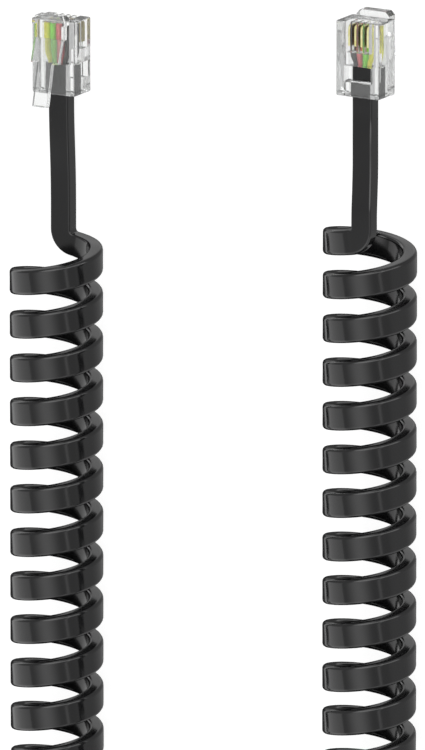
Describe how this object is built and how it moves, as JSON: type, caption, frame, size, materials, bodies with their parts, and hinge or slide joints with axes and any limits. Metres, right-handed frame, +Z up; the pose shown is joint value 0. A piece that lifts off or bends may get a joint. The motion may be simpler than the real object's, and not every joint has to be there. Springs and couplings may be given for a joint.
{
  "type": "telephone handset cord",
  "caption": "Black curly telephone handset cord laid in a U, with a short flat straight lead and a clear latching plug at each end.",
  "frame": {"origin": "on the floor, under the middle of the whole cord as it lies", "axes": "+Z up from the floor, +Y along the two straight limbs towards the plugs' noses, +X from the left limb to the right one"},
  "size_m": [0.071, 0.2034, 0.0146],
  "materials": {
    "jacket": "glossy black flexible PVC",
    "plug_plastic": "clear polished polycarbonate",
    "contact": "gold-plated stamped bronze",
    "black_insulation": "satin wire insulation",
    "red_insulation": "satin wire insulation",
    "green_insulation": "satin wire insulation",
    "yellow_insulation": "satin wire insulation"
  },
  "bodies": {
    "root": {"coiled_cord": "jacket", "left_straight_lead": "jacket", "right_straight_lead": "jacket", "left_plug_body": "plug_plastic", "right_plug_body": "plug_plastic", "left_contact_1": "contact", "left_contact_2": "contact", "left_contact_3": "contact", "left_contact_4": "contact", "right_contact_1": "contact", "right_contact_2": "contact", "right_contact_3": "contact", "right_contact_4": "contact", "left_black_wire": "black_insulation", "left_red_wire": "red_insulation", "left_green_wire": "green_insulation", "left_yellow_wire": "yellow_insulation", "right_black_wire": "black_insulation", "right_red_wire": "red_insulation", "right_green_wire": "green_insulation", "right_yellow_wire": "yellow_insulation"}
  },
  "joints": []
}
